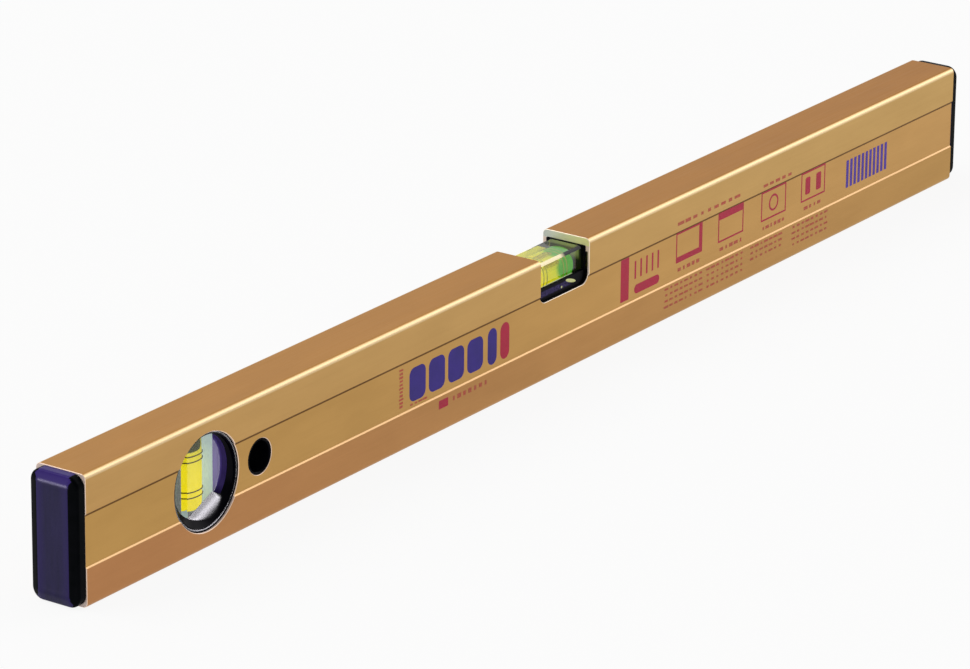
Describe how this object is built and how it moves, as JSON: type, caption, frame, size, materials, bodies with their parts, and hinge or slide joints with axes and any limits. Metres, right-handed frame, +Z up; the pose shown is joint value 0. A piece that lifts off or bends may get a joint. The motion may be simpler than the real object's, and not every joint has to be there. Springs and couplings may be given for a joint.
{
  "type": "magnetic spirit level",
  "caption": "Box-section spirit level with a level vial in the top, a plumb vial in a round window and a magnetic sole.",
  "frame": {"origin": "on the sole, under the middle of the box's length and width", "axes": "+X along the level, away from the plumb vial; -Y is the face that is read; +Z up, from the sole to the level vial"},
  "size_m": [0.6, 0.022, 0.05],
  "materials": {
    "gold_aluminium": "satin gold anodised, drawn along the length",
    "violet_plastic": "semi-gloss dark violet moulding",
    "clear_acrylic": "clear polished acrylic",
    "vial_fluid": "fluorescent yellow-green fluid",
    "air": "bubble",
    "ring_black": "black ring marks",
    "plug_green": "dark green sealing plug",
    "black_plastic": "matt black moulding",
    "cup_steel": "ground steel",
    "magnet_plate": "nickel-plated magnet",
    "potting_resin": "black potting resin"
  },
  "bodies": {
    "root": {"box_profile": "gold_aluminium", "end_cap_left": "violet_plastic", "end_cap_right": "violet_plastic", "level_vial_carrier": "violet_plastic", "level_vial_block": "clear_acrylic", "level_vial_plug": "plug_green", "level_vial_rings": "ring_black", "level_vial_fluid": "vial_fluid", "plumb_housing_front": "violet_plastic", "plumb_housing_rear": "violet_plastic", "plumb_vial_block": "clear_acrylic", "plumb_vial_plug": "plug_green", "plumb_vial_rings": "ring_black", "plumb_vial_fluid": "vial_fluid", "hang_hole_bush": "black_plastic", "magnet_cup_left": "cup_steel", "magnet_left_outer": "magnet_plate", "magnet_left_inner": "magnet_plate", "magnet_resin_left": "potting_resin", "magnet_cup_right": "cup_steel", "magnet_right_outer": "magnet_plate", "magnet_right_inner": "magnet_plate", "magnet_resin_right": "potting_resin"},
    "level_bubble": {"level_vial_bubble": "air"},
    "plumb_bubble": {"plumb_vial_bubble": "air"}
  },
  "joints": [
    {"name": "level_bubble_slide", "type": "slide", "parent": "root", "child": "level_bubble", "axis": [1, 0, 0], "range_m": [-0.0056, 0.0056], "stiffness_N_per_m": 1, "deforming": ["level_vial_fluid"]},
    {"name": "plumb_bubble_slide", "type": "slide", "parent": "root", "child": "plumb_bubble", "axis": [0, 0, -1], "range_m": [0, 0.02], "stiffness_N_per_m": 40, "deforming": ["plumb_vial_fluid"]}
  ]
}
